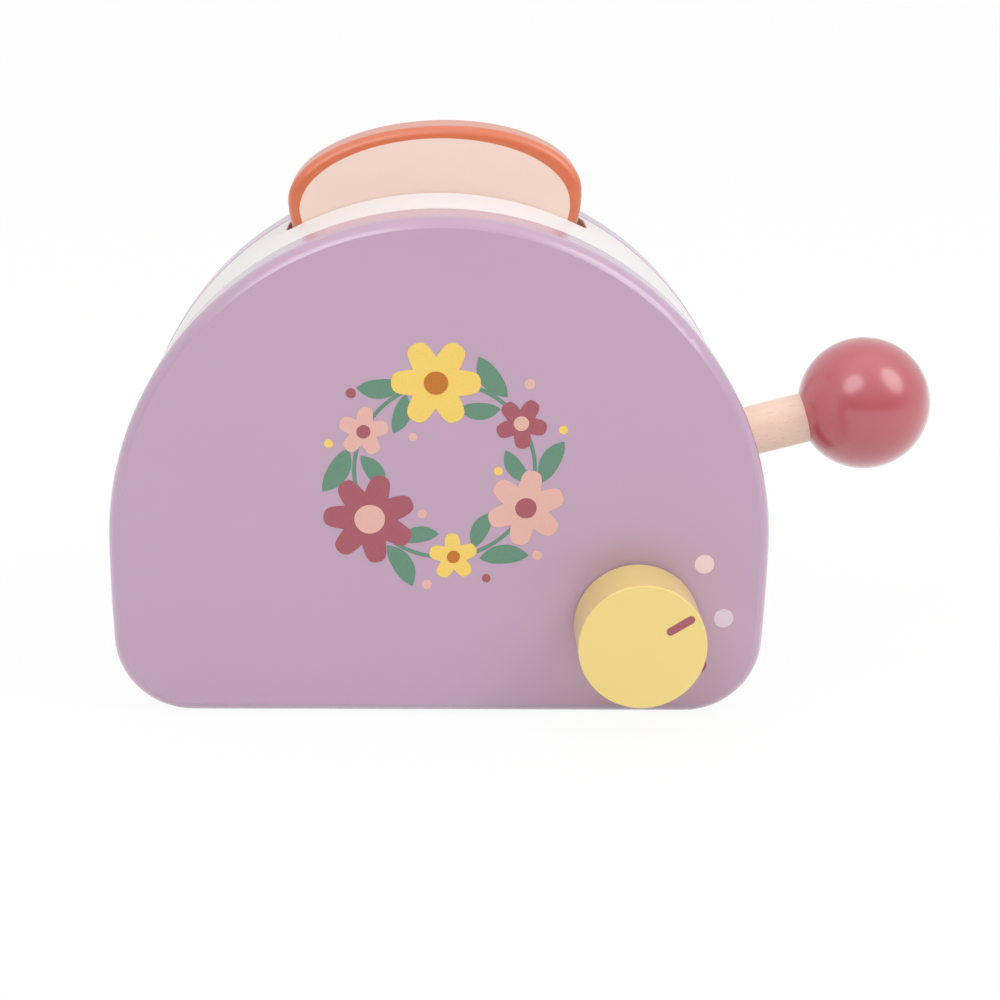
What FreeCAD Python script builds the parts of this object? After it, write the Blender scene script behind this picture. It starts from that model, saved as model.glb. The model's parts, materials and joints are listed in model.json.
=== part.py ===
import FreeCAD, Part
import math
import os

# Wooden toy toaster: two painted side boards with a bent white arch between them, a slice of
# toast in a well, a ball-ended lever that lowers it, and a knob that clicks as it turns.
# Millimetres. X to the lever's side, Y to the back, Z up. The origin is on the floor plane,
# midway between the side boards and midway along their flat foot.

V = FreeCAD.Vector

# ---- driving dimensions ----
BODY_WIDTH = 200.0          # across the side boards at their widest
BODY_DEPTH = 97.0           # over both side boards
PANEL_THICKNESS = 19.0
SHOULDER_Z = 53.3           # centre height of the half-round top
SIDE_RADIUS = 600.0         # slow inward curve of the flanks
CORNER_RADIUS = 23.6        # foot corners
FACE_ROUND = 5.3            # routed rounding of the boards' outer edges
FACE_SHOULDER = 0.5         # the face is sanded this far past the rounding's end, to a crisp line
SEAM_ROUND = 0.5            # rounding of the boards' edges beside the arch

ARCH_INSET = 0.2            # the arch lies this far under the boards' outline
ARCH_THICKNESS = 6.0
MOUTH_ROUND = 0.4           # rounding where the slots come out through the arch
BASE_THICKNESS = 12.0

TOAST_FRONT_Y = 5.1
TOAST_THICKNESS = 21.5
TOAST_WIDTH = 92.2
TOAST_CROWN = 21.75         # rise of the crown over the line where the slice is widest
TOAST_X = -2.2              # middle of that line; the slice stands a little left in its slot
TOAST_SHOULDER_Z = 151.7
TOAST_LEAN = 3.3            # degrees: the crown is cut a little higher on the right
TOAST_CHEEK = 32.0          # radius of the sides under the crown
TOAST_TURN = 22.0           # degrees that they turn inwards
TOAST_NECK = 8.0            # radius that brings them upright again
TOAST_FOOT = 8.0            # radius of the lower corners
TOAST_EDGE_ROUND = 3.2
SLOT_X = -1.5
SLOT_LENGTH = 94.2
SLOT_FRONT_Y = 4.8
SLOT_BACK_Y = 26.95
SLOT_CORNER = 3.0

LEVER_Y = 10.5              # depth of the plane that the lever swings in
LEVER_ROD_RADIUS = 8.0
LEVER_BALL_RADIUS = 21.3
LEVER_LENGTH = 225.0        # pivot to ball centre
LEVER_TILT = 14.8           # degrees above level at rest
LEVER_TRAVEL = 15.5         # degrees from rest to fully pressed
LEVER_TAIL = 9.0            # rod beyond the pivot
LEVER_OPENING_SPARE = 0.8   # spare height at each end of the slot in the arch
PIVOT_X = -80.0
PIVOT_Z = 28.0
PIN_RADIUS = 2.5
SPACER_RADIUS = 6.0
BALL_SOCKET_END = 6.0       # the rod stops this short of the ball's centre
STOP_PEG_X = 57.0
STOP_PEG_RADIUS = 4.0
PAD_LEFT_X = 64.0
PAD_RIGHT_X = 75.0
PAD_WIDTH = 14.0
STOP_CLEARANCE = 0.15

KNOB_X = 59.9
KNOB_Z = 29.6
KNOB_RADIUS = 19.2
KNOB_LENGTH = 21.4
KNOB_FACE_ROUND = 0.4
KNOB_BACK_ROUND = 0.5
KNOB_GAP = 0.6              # between knob and board
KNOB_SOCKET = 14.0          # how deep the spindle is glued into the knob
POINTER_ANGLE = 32.0        # degrees above level at rest
POINTER_INNER = 9.5         # from the knob's axis to the pointer's two ends
POINTER_OUTER = 16.4
POINTER_WIDTH = 2.5
POINTER_DEPTH = 0.25        # a shallow groove that is filled with paint
SPINDLE_RADIUS = 5.0
WASHER_RADIUS = 9.0
WASHER_THICKNESS = 1.0
WHEEL_RADIUS = 16.5
WHEEL_THICKNESS = 7.0
CLICK_NOTCHES = 12
NOTCH_RADIUS = 3.0
LEAF_THICKNESS = 0.8
LEAF_WIDTH = 6.0
LEAF_NOSE_DEPTH = 2.6
LEAF_NOSE_HALF = 0.6        # half the flat of the nose, and half its width at the strip
LEAF_FOLD_HALF = 3.0
LEAF_TIP = 6.0              # strip beyond the nose
LEAF_CLEARANCE = 0.35       # nose to the rims of the wheel's lobes

RUNNING = 0.08              # radial clearance of a turning fit
SIDE_CLEARANCE = 0.3        # sliding pieces to their guides
GUIDE_THICKNESS = 3.0       # of the front guide board; the rear one fills the space behind the well

# ---- places that follow from them ----
HALF_WIDTH = BODY_WIDTH / 2
FRONT_Y = -BODY_DEPTH / 2
BACK_Y = BODY_DEPTH / 2
INNER_FRONT_Y = FRONT_Y + PANEL_THICKNESS
INNER_BACK_Y = BACK_Y - PANEL_THICKNESS
SIDE_CENTRE_X = HALF_WIDTH - SIDE_RADIUS
CORNER_X = SIDE_CENTRE_X + math.sqrt((SIDE_RADIUS - CORNER_RADIUS) ** 2
                                     - (SHOULDER_Z - CORNER_RADIUS) ** 2)
ARCH_INNER = ARCH_INSET + ARCH_THICKNESS
LEVER_ANGLE = math.radians(LEVER_TILT)
PRESSED_ANGLE = math.radians(LEVER_TILT - LEVER_TRAVEL)

LEVER_HALF_GAP = LEVER_ROD_RADIUS + 0.8         # the front guide and the lever's slot clear the rod
UNDER_ARCH = ARCH_INNER + 0.2                   # inset of boards that stand just under the arch
FRONT_GUIDE_Y = LEVER_Y - LEVER_HALF_GAP        # faces of the guide boards towards the toast
BACK_GUIDE_Y = SLOT_BACK_Y + 0.15
GUIDE_LEFT_X = -89.0
GUIDE_RIGHT_X = 62.0
GUIDE_STEP_X = -59.5                            # the boards are low to the left of this
GUIDE_STEP_Z = 60.0
GUIDE_HOUSING = 3.0                             # depth of the grooves in the base

PLATFORM_THICKNESS = 6.0
PLATFORM_Z = 72.0
UPRIGHT_THICKNESS = 3.0
UPRIGHT_TOP_Z = 127.0
CARRIAGE_HALF = SLOT_LENGTH / 2 + 1.5
WELL_END_Z = 84.0
WELL_END_THICKNESS = 7.0
POST_RADIUS = 6.0
POST_GAP = 0.3

SPRING_MEAN_RADIUS = 5.8
SPRING_WIRE_RADIUS = 0.6
SPRING_TURNS = 7
SPRING_POCKET_RADIUS = 7.7
SPRING_FLOOR_Z = 4.0
SPRING_PEG_RADIUS = 4.0
SPRING_PEG_REACH = 4.0
SPRING_ALONG = 92.0                             # along the lever from its pivot

SPRING_TILT_ROOM = 2.7                          # the last coil reaches up under the tilted rod
BATTEN_SIZE = 14.0
BATTEN_ANGLE = 33.0                             # degrees above level, from the arch's centre
JOINT_DOWEL_RADIUS = 3.0
JOINT_DOWEL_LENGTH = 20.0
FOOT_JOINT_X = 50.0
SCREW_RADIUS = 2.0
SCREW_HEAD_RADIUS = 3.8
SCREW_LENGTH = 30.0
SCREW_SINK = 0.2                                # heads sit this far under the board's back
LEAF_SCREW_RADIUS = 1.0
LEAF_SCREW_HEAD_RADIUS = 1.9
LEAF_SCREW_LENGTH = 9.0
LEAF_SCREW_EDGE = 3.5
LEAF_LEFT_X = 20.0
LEAF_BLOCK_WIDTH = 14.0
LEAF_BLOCK_DEPTH = 12.0
LEAF_BLOCK_HEIGHT = 11.0

KNOB_BACK_Y = FRONT_Y - KNOB_GAP
KNOB_FRONT_Y = KNOB_BACK_Y - KNOB_LENGTH
WHEEL_FRONT_Y = INNER_FRONT_Y + WASHER_THICKNESS + 0.1
WHEEL_BACK_Y = WHEEL_FRONT_Y + WHEEL_THICKNESS
SPINDLE_FRONT_Y = KNOB_BACK_Y - KNOB_SOCKET
SPINDLE_BACK_Y = WHEEL_BACK_Y + 2.0
LEAF_Z = KNOB_Z + WHEEL_RADIUS + LEAF_CLEARANCE + LEAF_NOSE_DEPTH


# ---- small helpers ----
def box(x0, x1, y0, y1, z0, z1):
    return Part.makeBox(x1 - x0, y1 - y0, z1 - z0, V(x0, y0, z0))


def rod(radius, start, end):
    """A cylinder from one point to another."""
    return Part.makeCylinder(radius, (end - start).Length, start, end - start)


def arc(cx, cz, radius, first, last):
    """An arc in the drawing plane, from one angle to another in degrees."""
    at = [V(cx + radius * math.cos(math.radians(a)), cz + radius * math.sin(math.radians(a)), 0)
          for a in (first, (first + last) / 2, last)]
    return Part.Arc(*at).toShape()


def line(x0, z0, x1, z1):
    return Part.LineSegment(V(x0, z0, 0), V(x1, z1, 0)).toShape()


def upright(face, y_front, y_back):
    """Stands a face drawn in x and z between two depths."""
    solid = face.extrude(V(0, 0, y_back - y_front))
    solid.rotate(V(0, 0, 0), V(1, 0, 0), 90)
    solid.translate(V(0, y_back, 0))
    return solid


def polygon(points):
    ring = [V(x, z, 0) for x, z in points + points[:1]]
    return Part.Face(Part.makePolygon(ring))


def body_face(inset):
    """The side boards' outline, drawn in by an inset: half-round top, slow flanks, round corners."""
    turn = math.degrees(math.atan2(SHOULDER_Z - CORNER_RADIUS, CORNER_X - SIDE_CENTRE_X))
    flank = SIDE_RADIUS - inset
    corner = CORNER_RADIUS - inset
    edges = [
        arc(0, SHOULDER_Z, HALF_WIDTH - inset, 0, 180),
        arc(-SIDE_CENTRE_X, SHOULDER_Z, flank, 180, 180 + turn),
        arc(-CORNER_X, CORNER_RADIUS, corner, 180 + turn, 270),
        line(-CORNER_X, inset, CORNER_X, inset),
        arc(CORNER_X, CORNER_RADIUS, corner, -90, -turn),
        arc(SIDE_CENTRE_X, SHOULDER_Z, flank, -turn, 0),
    ]
    return Part.Face(Part.Wire(edges))


def body_solid(inset, y_front, y_back):
    return upright(body_face(inset), y_front, y_back)


def edges_at_depth(solid, y):
    """The edges that lie wholly in one plane of depth."""
    return [e for e in solid.Edges
            if abs(e.BoundBox.YMin - y) < 0.01 and abs(e.BoundBox.YMax - y) < 0.01]


def along_lever(distance, height, y=LEVER_Y):
    """A point beside the resting lever: distance out from its pivot, height square to it."""
    x = PIVOT_X + distance * math.cos(LEVER_ANGLE) - height * math.sin(LEVER_ANGLE)
    z = PIVOT_Z + distance * math.sin(LEVER_ANGLE) + height * math.cos(LEVER_ANGLE)
    return V(x, y, z)


def rod_height(x, angle, side):
    """Height of the lever rod's top (side 1) or underside (side -1) over a place x."""
    return PIVOT_Z + (x - PIVOT_X) * math.tan(angle) + side * LEVER_ROD_RADIUS / math.cos(angle)


def wood_screw(mouth, direction, length, radius, head_radius):
    """A countersunk screw with a cross recess, its head flush with its mouth."""
    head_depth = head_radius - radius
    head = Part.makeCone(head_radius, radius, head_depth, mouth, direction)
    shank = rod(radius, mouth + direction * head_depth, mouth + direction * length)
    screw = head.fuse(shank)
    recess = head_radius * 0.6
    for flat in (V(recess, 0.5, recess), V(0.5, recess, recess)):
        slot = Part.makeBox(2 * flat.x, 2 * flat.y, head_depth * 0.8)
        slot.translate(V(-flat.x, -flat.y, 0))
        slot.Placement = FreeCAD.Placement(mouth, FreeCAD.Rotation(V(0, 0, 1), direction)).multiply(
            slot.Placement)
        screw = screw.cut(slot)
    return screw


def screw_room(mouth, direction, length, radius, head_radius):
    """The countersunk hole that such a screw fills."""
    head_depth = head_radius - radius
    head = Part.makeCone(head_radius, radius, head_depth, mouth, direction)
    return head.fuse(rod(radius, mouth + direction * head_depth, mouth + direction * length))


def group(solids):
    return Part.makeCompound(solids)


# ---- where the fixings sit ----
BATTEN_REACH = HALF_WIDTH - ARCH_INNER - BATTEN_SIZE / 2


def batten_centre(side):
    turn = math.radians(BATTEN_ANGLE)
    return V(side * BATTEN_REACH * math.cos(turn), 0, SHOULDER_Z + BATTEN_REACH * math.sin(turn))


def fixing_points():
    """The four places where the side boards are joined to what stands between them."""
    feet = [V(side * FOOT_JOINT_X, 0, BASE_THICKNESS / 2) for side in (-1, 1)]
    return feet + [batten_centre(side) for side in (-1, 1)]


def joint_dowels():
    half = JOINT_DOWEL_LENGTH / 2
    return [rod(JOINT_DOWEL_RADIUS, V(p.x, INNER_FRONT_Y - half, p.z), V(p.x, INNER_FRONT_Y + half, p.z))
            for p in fixing_points()]


def back_screws(make):
    return [make(V(p.x, BACK_Y - SCREW_SINK, p.z), V(0, -1, 0), SCREW_LENGTH, SCREW_RADIUS,
                 SCREW_HEAD_RADIUS) for p in fixing_points()]


def screw_mouths():
    """Shallow counterbores that let the screw heads sit just under the surface."""
    return [rod(SCREW_HEAD_RADIUS, V(p.x, BACK_Y - SCREW_SINK, p.z), V(p.x, BACK_Y + 1, p.z))
            for p in fixing_points()]


# ---- the case ----
def side_board(outer, inner):
    """A side board with its outer edge rounded over, and its face sanded past the round's end."""
    proud = outer + math.copysign(FACE_SHOULDER, outer)
    board = body_solid(0, min(proud, inner), max(proud, inner))
    board = board.makeFillet(FACE_ROUND, edges_at_depth(board, proud))
    board = board.makeFillet(SEAM_ROUND, edges_at_depth(board, inner))
    return board.cut(box(-BODY_WIDTH, BODY_WIDTH, min(proud, outer), max(proud, outer), -1, BODY_WIDTH))


def front_panel():
    board = side_board(FRONT_Y, INNER_FRONT_Y)
    bore = rod(SPINDLE_RADIUS + RUNNING, V(KNOB_X, FRONT_Y - 1, KNOB_Z), V(KNOB_X, INNER_FRONT_Y + 1, KNOB_Z))
    return board.cut([bore] + joint_dowels())


def rear_panel():
    board = side_board(BACK_Y, INNER_BACK_Y)
    return board.cut(back_screws(screw_room) + screw_mouths())


def arch_shell():
    """Bent ply, foot to foot over the top, with the toast slot and the lever's slot."""
    shell = body_solid(ARCH_INSET, INNER_FRONT_Y, INNER_BACK_Y)
    hollow = body_solid(ARCH_INNER, INNER_FRONT_Y - 1, INNER_BACK_Y + 1)
    foot_gap = box(-CORNER_X, CORNER_X, INNER_FRONT_Y - 1, INNER_BACK_Y + 1, -1, BASE_THICKNESS)
    shell = shell.cut([hollow, foot_gap, toast_opening(), lever_opening()])
    return shell.makeFillet(MOUTH_ROUND, mouth_edges(shell))


def mouth_edges(shell):
    """The edges where the toast and lever slots come out through the arch's outer face."""
    outline = body_face(ARCH_INSET).OuterWire
    found = []
    for edge in shell.Edges:
        middle = edge.valueAt((edge.FirstParameter + edge.LastParameter) / 2)
        off = Part.Vertex(middle.x, middle.z, 0).distToShape(outline)[0]
        if off < 0.01 and abs(middle.y) < INNER_BACK_Y - 1 and middle.z > BASE_THICKNESS + 1:
            found.append(edge)
    return found


def toast_opening():
    half = SLOT_LENGTH / 2
    opening = box(SLOT_X - half, SLOT_X + half, SLOT_FRONT_Y, SLOT_BACK_Y,
                  WELL_END_Z, SHOULDER_Z + HALF_WIDTH + 1)
    upright_edges = [e for e in opening.Edges if e.BoundBox.ZLength > 1]
    return opening.makeFillet(SLOT_CORNER, upright_edges)


def lever_opening():
    """A round-ended slot through the right flank, as high as the lever's swing."""
    wall_x = HALF_WIDTH - ARCH_INSET
    top = PIVOT_Z + (wall_x - PIVOT_X) * math.tan(LEVER_ANGLE) + LEVER_OPENING_SPARE
    bottom = PIVOT_Z + (wall_x - PIVOT_X) * math.tan(PRESSED_ANGLE) - LEVER_OPENING_SPARE
    x0 = HALF_WIDTH - CORNER_RADIUS
    x1 = HALF_WIDTH + 1
    middle = box(x0, x1, LEVER_Y - LEVER_HALF_GAP, LEVER_Y + LEVER_HALF_GAP, bottom, top)
    ends = [rod(LEVER_HALF_GAP, V(x0, LEVER_Y, z), V(x1, LEVER_Y, z)) for z in (bottom, top)]
    return middle.fuse(ends)


def base_board():
    board = box(-CORNER_X, CORNER_X, INNER_FRONT_Y, INNER_BACK_Y, 0, BASE_THICKNESS)
    pocket = rod(SPRING_POCKET_RADIUS, spring_foot(), spring_foot() + V(0, 0, BASE_THICKNESS))
    return board.cut([guide_outline(FRONT_GUIDE_Y - GUIDE_THICKNESS, FRONT_GUIDE_Y),
                      guide_outline(BACK_GUIDE_Y, INNER_BACK_Y), pocket]
                     + joint_dowels() + back_screws(screw_room))


def arch_batten(side):
    """A square batten glued under the arch, its outer face shaped to the curve."""
    centre = batten_centre(side)
    half = BATTEN_SIZE / 2
    bar = box(centre.x - half, centre.x + half, INNER_FRONT_Y, INNER_BACK_Y, centre.z - half, centre.z + half)
    bar.rotate(centre, V(0, 1, 0), -side * BATTEN_ANGLE)
    bar = bar.common(body_solid(ARCH_INNER, INNER_FRONT_Y, INNER_BACK_Y))
    return bar.cut(joint_dowels() + back_screws(screw_room))


# ---- the toast well and the lever's bearings ----
def guide_outline(y_front, y_back):
    foot = BASE_THICKNESS - GUIDE_HOUSING
    top = SHOULDER_Z + HALF_WIDTH
    sheet = upright(polygon([(GUIDE_LEFT_X, foot), (GUIDE_RIGHT_X, foot), (GUIDE_RIGHT_X, top),
                             (GUIDE_STEP_X, top), (GUIDE_STEP_X, GUIDE_STEP_Z),
                             (GUIDE_LEFT_X, GUIDE_STEP_Z)]), y_front, y_back)
    return sheet.common(body_solid(UNDER_ARCH, y_front, y_back))


def cross_pin(radius, x, z):
    return rod(radius, V(x, FRONT_GUIDE_Y - GUIDE_THICKNESS, z), V(x, INNER_BACK_Y, z))


def guide_board(y_front, y_back):
    return guide_outline(y_front, y_back).cut([pivot_pin(), stop_peg()])


def pivot_pin():
    return cross_pin(PIN_RADIUS, PIVOT_X, PIVOT_Z)


def pivot_spacer():
    """A ring on the pin that keeps the lever beside the front guide."""
    front = LEVER_Y + LEVER_ROD_RADIUS + SIDE_CLEARANCE
    return rod(SPACER_RADIUS, V(PIVOT_X, front, PIVOT_Z), V(PIVOT_X, BACK_GUIDE_Y, PIVOT_Z)).cut(pivot_pin())


def stop_peg():
    """A peg across the guide boards that the raised lever comes to rest against."""
    z = rod_height(STOP_PEG_X, LEVER_ANGLE, 1) + (STOP_PEG_RADIUS + STOP_CLEARANCE) / math.cos(LEVER_ANGLE)
    return cross_pin(STOP_PEG_RADIUS, STOP_PEG_X, z)


def landing_pad():
    """Felt on the base that the pressed lever lands on."""
    top = rod_height(PAD_RIGHT_X, PRESSED_ANGLE, -1) - STOP_CLEARANCE
    half = PAD_WIDTH / 2
    return box(PAD_LEFT_X, PAD_RIGHT_X, LEVER_Y - half, LEVER_Y + half, BASE_THICKNESS, top)


def well_end(side):
    """A strip that closes one end of the toast well and guides the carriage."""
    inner = SLOT_X + side * (CARRIAGE_HALF + UPRIGHT_THICKNESS / 2 + SIDE_CLEARANCE)
    outer = inner + side * WELL_END_THICKNESS
    strip = box(min(inner, outer), max(inner, outer), FRONT_GUIDE_Y, BACK_GUIDE_Y,
                WELL_END_Z, SHOULDER_Z + HALF_WIDTH)
    return strip.common(body_solid(UNDER_ARCH, FRONT_GUIDE_Y, BACK_GUIDE_Y))


def spring_foot():
    middle = along_lever(SPRING_ALONG, -(LEVER_ROD_RADIUS + SPRING_PEG_REACH / 2))
    return V(middle.x, LEVER_Y, SPRING_FLOOR_Z)


def return_spring():
    """A compression spring from its pocket in the base to the underside of the lever."""
    foot = spring_foot()
    outer = SPRING_MEAN_RADIUS + SPRING_WIRE_RADIUS
    top = rod_height(foot.x - outer, LEVER_ANGLE, -1) + SPRING_TILT_ROOM
    rise = top - foot.z - 2 * SPRING_WIRE_RADIUS
    helix = Part.makeHelix(rise / SPRING_TURNS, rise, SPRING_MEAN_RADIUS)
    wire_end = Part.Circle(V(SPRING_MEAN_RADIUS, 0, 0), V(0, 1, 0), SPRING_WIRE_RADIUS).toShape()
    coil = Part.Wire(helix).makePipeShell([Part.Wire(wire_end)], True, True)
    coil.translate(foot + V(0, 0, SPRING_WIRE_RADIUS))
    return coil


# ---- the lever ----
def lever_rod():
    stock = rod(LEVER_ROD_RADIUS, along_lever(-LEVER_TAIL, 0), along_lever(LEVER_LENGTH - BALL_SOCKET_END, 0))
    stock = stock.makeChamfer(1.0, [e for e in stock.Edges if e.Closed])
    pivot_bore = cross_pin(PIN_RADIUS + RUNNING, PIVOT_X, PIVOT_Z)
    return stock.cut([pivot_bore, spring_peg()])


def lever_ball():
    centre = along_lever(LEVER_LENGTH, 0)
    mouth = along_lever(LEVER_LENGTH - LEVER_BALL_RADIUS - 1, 0)
    ball = Part.makeSphere(LEVER_BALL_RADIUS, centre, centre - mouth, -90, 90, 360)
    return ball.cut(rod(LEVER_ROD_RADIUS, mouth, along_lever(LEVER_LENGTH - BALL_SOCKET_END, 0)))


def spring_peg():
    reach = LEVER_ROD_RADIUS + SPRING_PEG_REACH
    root = LEVER_ROD_RADIUS / 4
    return rod(SPRING_PEG_RADIUS, along_lever(SPRING_ALONG, -root), along_lever(SPRING_ALONG, -reach))


# ---- the carriage under the toast ----
def lift_platform():
    half = CARRIAGE_HALF + UPRIGHT_THICKNESS / 2
    plate = box(SLOT_X - half, SLOT_X + half, FRONT_GUIDE_Y + SIDE_CLEARANCE, BACK_GUIDE_Y - SIDE_CLEARANCE,
                PLATFORM_Z, PLATFORM_Z + PLATFORM_THICKNESS)
    return plate.cut(lift_post())


def lift_upright(side):
    centre = SLOT_X + side * CARRIAGE_HALF
    half = UPRIGHT_THICKNESS / 2
    return box(centre - half, centre + half, FRONT_GUIDE_Y + SIDE_CLEARANCE, BACK_GUIDE_Y - SIDE_CLEARANCE,
               PLATFORM_Z + PLATFORM_THICKNESS, UPRIGHT_TOP_Z)


def post_ball_centre():
    """Centre of the post's round foot, which follows the top of the lever rod."""
    reach = (LEVER_ROD_RADIUS + POST_RADIUS + POST_GAP) / math.cos(LEVER_ANGLE)
    return V(SLOT_X, LEVER_Y, PIVOT_Z + (SLOT_X - PIVOT_X) * math.tan(LEVER_ANGLE) + reach)


def lift_post():
    """A round-ended post that stands on the lever and carries the platform."""
    foot = post_ball_centre()
    shank = rod(POST_RADIUS, foot, V(foot.x, foot.y, PLATFORM_Z + PLATFORM_THICKNESS / 2))
    return shank.fuse(Part.makeSphere(POST_RADIUS, foot))


# ---- the slice of toast ----
def toast_face():
    """A loaf's outline: a leaning domed crown, sides that turn under to a waist, a plain foot."""
    half = TOAST_WIDTH / 2
    lean = math.radians(TOAST_LEAN)
    middle = V(TOAST_X, TOAST_SHOULDER_Z, 0)
    across = V(math.cos(lean), math.sin(lean), 0)
    upward = V(-math.sin(lean), math.cos(lean), 0)
    crown = Part.Ellipse(middle + across * half, middle + upward * TOAST_CROWN, middle)
    right_cheek = middle + across * (half - TOAST_CHEEK)
    left_cheek = middle - across * (half - TOAST_CHEEK)
    right_turn = TOAST_LEAN - TOAST_TURN
    left_turn = 180 + TOAST_LEAN + TOAST_TURN
    right_neck = neck_centre(right_cheek, right_turn)
    left_neck = neck_centre(left_cheek, left_turn)
    right = right_neck.x - TOAST_NECK
    left = left_neck.x + TOAST_NECK
    bottom = PLATFORM_Z + PLATFORM_THICKNESS
    shoulder = bottom + TOAST_FOOT
    edges = [Part.ArcOfEllipse(crown, 0, math.pi).toShape(),
             arc(left_cheek.x, left_cheek.y, TOAST_CHEEK, 180 + TOAST_LEAN, left_turn),
             arc(left_neck.x, left_neck.y, TOAST_NECK, left_turn - 180, 0),
             line(left, left_neck.y, left, shoulder),
             arc(left + TOAST_FOOT, shoulder, TOAST_FOOT, 180, 270),
             line(left + TOAST_FOOT, bottom, right - TOAST_FOOT, bottom),
             arc(right - TOAST_FOOT, shoulder, TOAST_FOOT, -90, 0),
             line(right, shoulder, right, right_neck.y),
             arc(right_neck.x, right_neck.y, TOAST_NECK, 180, 180 + right_turn),
             arc(right_cheek.x, right_cheek.y, TOAST_CHEEK, right_turn, TOAST_LEAN)]
    return Part.Face(Part.Wire(edges))


def neck_centre(cheek, turn):
    """Centre of the hollow that takes over from a cheek at an angle in degrees."""
    reach = TOAST_CHEEK + TOAST_NECK
    return cheek + V(math.cos(math.radians(turn)), math.sin(math.radians(turn)), 0) * reach


def toast_slice():
    back = TOAST_FRONT_Y + TOAST_THICKNESS
    slice_solid = upright(toast_face(), TOAST_FRONT_Y, back)
    rims = edges_at_depth(slice_solid, TOAST_FRONT_Y) + edges_at_depth(slice_solid, back)
    return slice_solid.makeFillet(TOAST_EDGE_ROUND, rims)


# ---- the knob and its click work ----
def on_knob_axis(y):
    return V(KNOB_X, y, KNOB_Z)


def knob():
    body = rod(KNOB_RADIUS, on_knob_axis(KNOB_BACK_Y), on_knob_axis(KNOB_FRONT_Y))
    body = body.makeFillet(KNOB_FACE_ROUND, edges_at_depth(body, KNOB_FRONT_Y))
    body = body.makeFillet(KNOB_BACK_ROUND, edges_at_depth(body, KNOB_BACK_Y))
    return body.cut([knob_spindle(), pointer_groove()])


def pointer_groove():
    """A round-ended groove in the knob's face, lying along a radius."""
    turn = math.radians(POINTER_ANGLE)
    bottom, top = KNOB_FRONT_Y + POINTER_DEPTH, KNOB_FRONT_Y - 1
    half = POINTER_WIDTH / 2
    bar = box(KNOB_X + POINTER_INNER, KNOB_X + POINTER_OUTER, top, bottom, KNOB_Z - half, KNOB_Z + half)
    bar.rotate(on_knob_axis(0), V(0, 1, 0), -POINTER_ANGLE)
    away = V(math.cos(turn), 0, math.sin(turn))
    ends = [rod(half, on_knob_axis(top) + away * reach, on_knob_axis(bottom) + away * reach)
            for reach in (POINTER_INNER, POINTER_OUTER)]
    return bar.fuse(ends)


def knob_spindle():
    return rod(SPINDLE_RADIUS, on_knob_axis(SPINDLE_FRONT_Y), on_knob_axis(SPINDLE_BACK_Y))


def spindle_washer():
    ring = rod(WASHER_RADIUS, on_knob_axis(INNER_FRONT_Y), on_knob_axis(INNER_FRONT_Y + WASHER_THICKNESS))
    return ring.cut(rod(SPINDLE_RADIUS + RUNNING, on_knob_axis(INNER_FRONT_Y), on_knob_axis(WHEEL_FRONT_Y)))


def click_wheel():
    """A disc with round notches that the leaf spring's nose drops into."""
    disc = rod(WHEEL_RADIUS, on_knob_axis(WHEEL_FRONT_Y), on_knob_axis(WHEEL_BACK_Y))
    notches = []
    for step in range(CLICK_NOTCHES):
        turn = math.radians(90 + step * 360 / CLICK_NOTCHES)
        away = V(math.cos(turn), 0, math.sin(turn)) * (WHEEL_RADIUS + NOTCH_RADIUS / 3)
        front, back = on_knob_axis(WHEEL_FRONT_Y), on_knob_axis(WHEEL_BACK_Y)
        notches.append(rod(NOTCH_RADIUS, front + away, back + away))
    return disc.cut(notches + [knob_spindle()])


def click_leaf():
    """A steel strip over the wheel, folded down to a nose above the wheel's top notch."""
    nose_z = LEAF_Z - LEAF_NOSE_DEPTH
    lower = [(LEAF_LEFT_X, LEAF_Z),
             (KNOB_X - LEAF_FOLD_HALF, LEAF_Z), (KNOB_X - LEAF_NOSE_HALF, nose_z),
             (KNOB_X + LEAF_NOSE_HALF, nose_z), (KNOB_X + LEAF_FOLD_HALF, LEAF_Z),
             (KNOB_X + LEAF_TIP, LEAF_Z)]
    upper = [(x, z + LEAF_THICKNESS) for x, z in reversed(lower)]
    middle = (WHEEL_FRONT_Y + WHEEL_BACK_Y) / 2
    strip = upright(polygon(lower + upper), middle - LEAF_WIDTH / 2, middle + LEAF_WIDTH / 2)
    return strip.cut(leaf_screws(screw_room))


def leaf_screws(make):
    middle = (WHEEL_FRONT_Y + WHEEL_BACK_Y) / 2
    places = (LEAF_LEFT_X + LEAF_SCREW_EDGE, LEAF_LEFT_X + LEAF_BLOCK_WIDTH - LEAF_SCREW_EDGE)
    return [make(V(x, middle, LEAF_Z + LEAF_THICKNESS), V(0, 0, -1), LEAF_SCREW_LENGTH,
                 LEAF_SCREW_RADIUS, LEAF_SCREW_HEAD_RADIUS) for x in places]


def click_leaf_block():
    block = box(LEAF_LEFT_X, LEAF_LEFT_X + LEAF_BLOCK_WIDTH, INNER_FRONT_Y, INNER_FRONT_Y + LEAF_BLOCK_DEPTH,
                LEAF_Z - LEAF_BLOCK_HEIGHT, LEAF_Z)
    return block.cut(leaf_screws(screw_room))


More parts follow.
